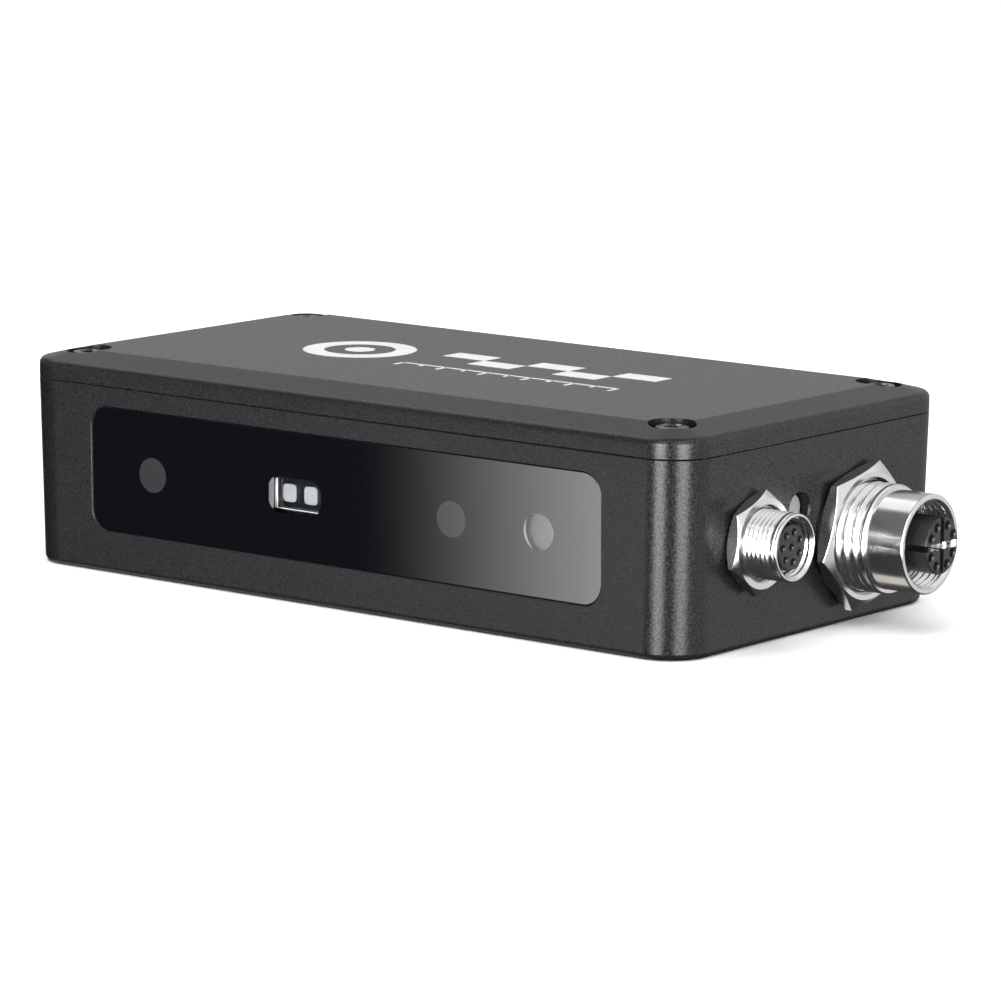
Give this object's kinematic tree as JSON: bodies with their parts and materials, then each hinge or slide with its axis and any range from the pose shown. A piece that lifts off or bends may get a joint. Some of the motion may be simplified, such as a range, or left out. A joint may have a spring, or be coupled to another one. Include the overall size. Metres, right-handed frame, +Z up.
{
  "type": "industrial stereo depth camera module",
  "caption": "Die-cast box sensor with one long front window, a lift-off screwed cover and two round threaded connectors on its right side.",
  "frame": {"origin": "centre of the housing's flat bottom face", "axes": "+X right towards the connectors, +Y back away from the window, +Z up towards the cover; the window looks along -Y"},
  "size_m": [0.1379, 0.0652, 0.0324],
  "materials": {
    "powder_coat": "fine-textured black powder coat on die-cast aluminium",
    "cover_screw_steel": "black oxide socket screw with worn bright edges",
    "zinc_steel": "bright zinc plate",
    "rubber": "matte black silicone",
    "window_black": "polished dark infrared-pass window, masked black from behind",
    "aluminium": "satin machined aluminium",
    "capacitor_can": "bright drawn can with a dark polarity stripe",
    "circuit_board": "green solder mask with gold pads",
    "chip_plastic": "moulded epoxy package",
    "optic_plastic": "matte black lens holder",
    "lens_glass": "coated grey lens",
    "emitter": "pale ceramic emitter",
    "thermal_pad": "soft pale blue gap filler",
    "header_plastic": "natural nylon",
    "flex_film": "amber polyimide film",
    "nickel": "nickel plate on turned brass",
    "insert_plastic": "dark grey glass-filled nylon",
    "contact_gold": "gold-flashed copper alloy",
    "cable_jacket": "black jacket",
    "button_grey": "translucent grey moulding"
  },
  "bodies": {
    "housing": {"housing": "powder_coat", "board_screw_1": "zinc_steel", "board_screw_2": "zinc_steel", "board_screw_3": "zinc_steel", "board_screw_4": "zinc_steel", "bracket_screw_left": "zinc_steel", "bracket_screw_right": "zinc_steel", "cover_gasket": "rubber", "window_gasket": "rubber", "m12_seal_ring": "rubber", "m8_seal_ring": "rubber", "button_seal": "rubber", "front_window": "window_black", "stereo_bracket": "aluminium", "heat_spreader": "aluminium", "capacitor_1": "capacitor_can", "capacitor_2": "capacitor_can", "stereo_board": "circuit_board", "main_board": "circuit_board", "button_board": "circuit_board", "vision_processor": "chip_plastic", "memory_chip_1": "chip_plastic", "memory_chip_2": "chip_plastic", "flash_chip": "chip_plastic", "ethernet_magnetics": "chip_plastic", "power_inductor": "chip_plastic", "tact_switch": "chip_plastic", "flex_socket_stereo": "chip_plastic", "flex_socket_main": "chip_plastic", "left_imager_holder": "optic_plastic", "right_imager_holder": "optic_plastic", "colour_camera_holder": "optic_plastic", "projector_housing": "optic_plastic", "left_imager_lens": "lens_glass", "right_imager_lens": "lens_glass", "colour_camera_lens": "lens_glass", "projector_glass": "lens_glass", "projector_emitter_left": "emitter", "projector_emitter_right": "emitter", "processor_pad": "thermal_pad", "cover_gap_pad": "thermal_pad", "m12_header": "header_plastic", "m8_header": "header_plastic", "flex_cable": "flex_film", "m12_shell": "nickel", "m12_lock_nut": "nickel", "m8_shell": "nickel", "m8_lock_nut": "nickel", "m12_insert": "insert_plastic", "m8_insert": "insert_plastic", "m12_contact_set": "contact_gold", "m8_contact_set": "contact_gold", "m12_harness": "cable_jacket", "m8_harness": "cable_jacket"},
    "cover": {"top_cover": "powder_coat", "cover_screw_front_left": "cover_screw_steel", "cover_screw_front_right": "cover_screw_steel", "cover_screw_rear_left": "cover_screw_steel", "cover_screw_rear_right": "cover_screw_steel"},
    "reset_button": {"reset_button_cap": "button_grey"}
  },
  "joints": [
    {"name": "cover_lift", "type": "slide", "parent": "housing", "child": "cover", "axis": [0, 0, 1], "range_m": [0, 0.04]},
    {"name": "reset_button_press", "type": "slide", "parent": "housing", "child": "reset_button", "axis": [-1, 0, 0], "range_m": [0, 0.0005], "stiffness_N_per_m": 800}
  ]
}
